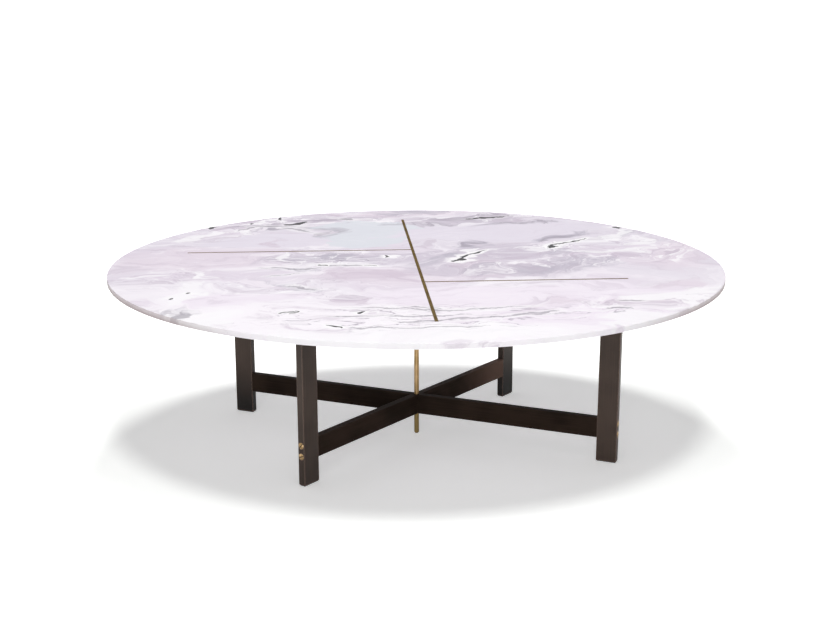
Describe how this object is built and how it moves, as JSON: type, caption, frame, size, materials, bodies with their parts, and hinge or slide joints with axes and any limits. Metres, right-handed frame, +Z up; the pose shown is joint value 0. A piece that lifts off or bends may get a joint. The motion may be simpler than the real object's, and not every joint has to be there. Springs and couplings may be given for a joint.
{
  "type": "round cocktail table",
  "caption": "Low round cocktail table: marble top with flush brass strips, on a crossed flat-bar frame with upright legs and a slim brass rod down the middle.",
  "frame": {"origin": "on the floor, under the middle of the round top", "axes": "+Z up; +Y along the long inlay strip, away from the front; +X to the right seen from the front"},
  "size_m": [1.1998, 1.2, 0.364],
  "materials": {
    "marble": "polished white marble with lilac and grey veins",
    "inlay_brass": "ground flush, satin",
    "bronze_bar": "dark bronze satin coat",
    "rod_brass": "drawn and lightly brushed",
    "screw_brass": "turned, bright",
    "zinc_steel": "zinc plated",
    "glide_nylon": "moulded, matte"
  },
  "bodies": {
    "root": {"marble_top": "marble", "long_inlay_strip": "inlay_brass", "left_inlay_strip": "inlay_brass", "right_inlay_strip": "inlay_brass", "short_stretcher": "bronze_bar", "long_stretcher": "bronze_bar", "centre_rod": "rod_brass", "rod_socket": "rod_brass", "leg_front_left": "bronze_bar", "glide_front_left": "glide_nylon", "stretcher_screws_front_left": "screw_brass", "top_plate_front_left": "bronze_bar", "plate_screws_front_left": "zinc_steel", "top_screws_front_left": "zinc_steel", "top_inserts_front_left": "rod_brass", "leg_front_right": "bronze_bar", "glide_front_right": "glide_nylon", "stretcher_screws_front_right": "screw_brass", "top_plate_front_right": "bronze_bar", "plate_screws_front_right": "zinc_steel", "top_screws_front_right": "zinc_steel", "top_inserts_front_right": "rod_brass", "leg_back_left": "bronze_bar", "glide_back_left": "glide_nylon", "stretcher_screws_back_left": "screw_brass", "top_plate_back_left": "bronze_bar", "plate_screws_back_left": "zinc_steel", "top_screws_back_left": "zinc_steel", "top_inserts_back_left": "rod_brass", "leg_back_right": "bronze_bar", "glide_back_right": "glide_nylon", "stretcher_screws_back_right": "screw_brass", "top_plate_back_right": "bronze_bar", "plate_screws_back_right": "zinc_steel", "top_screws_back_right": "zinc_steel", "top_inserts_back_right": "rod_brass"}
  },
  "joints": []
}
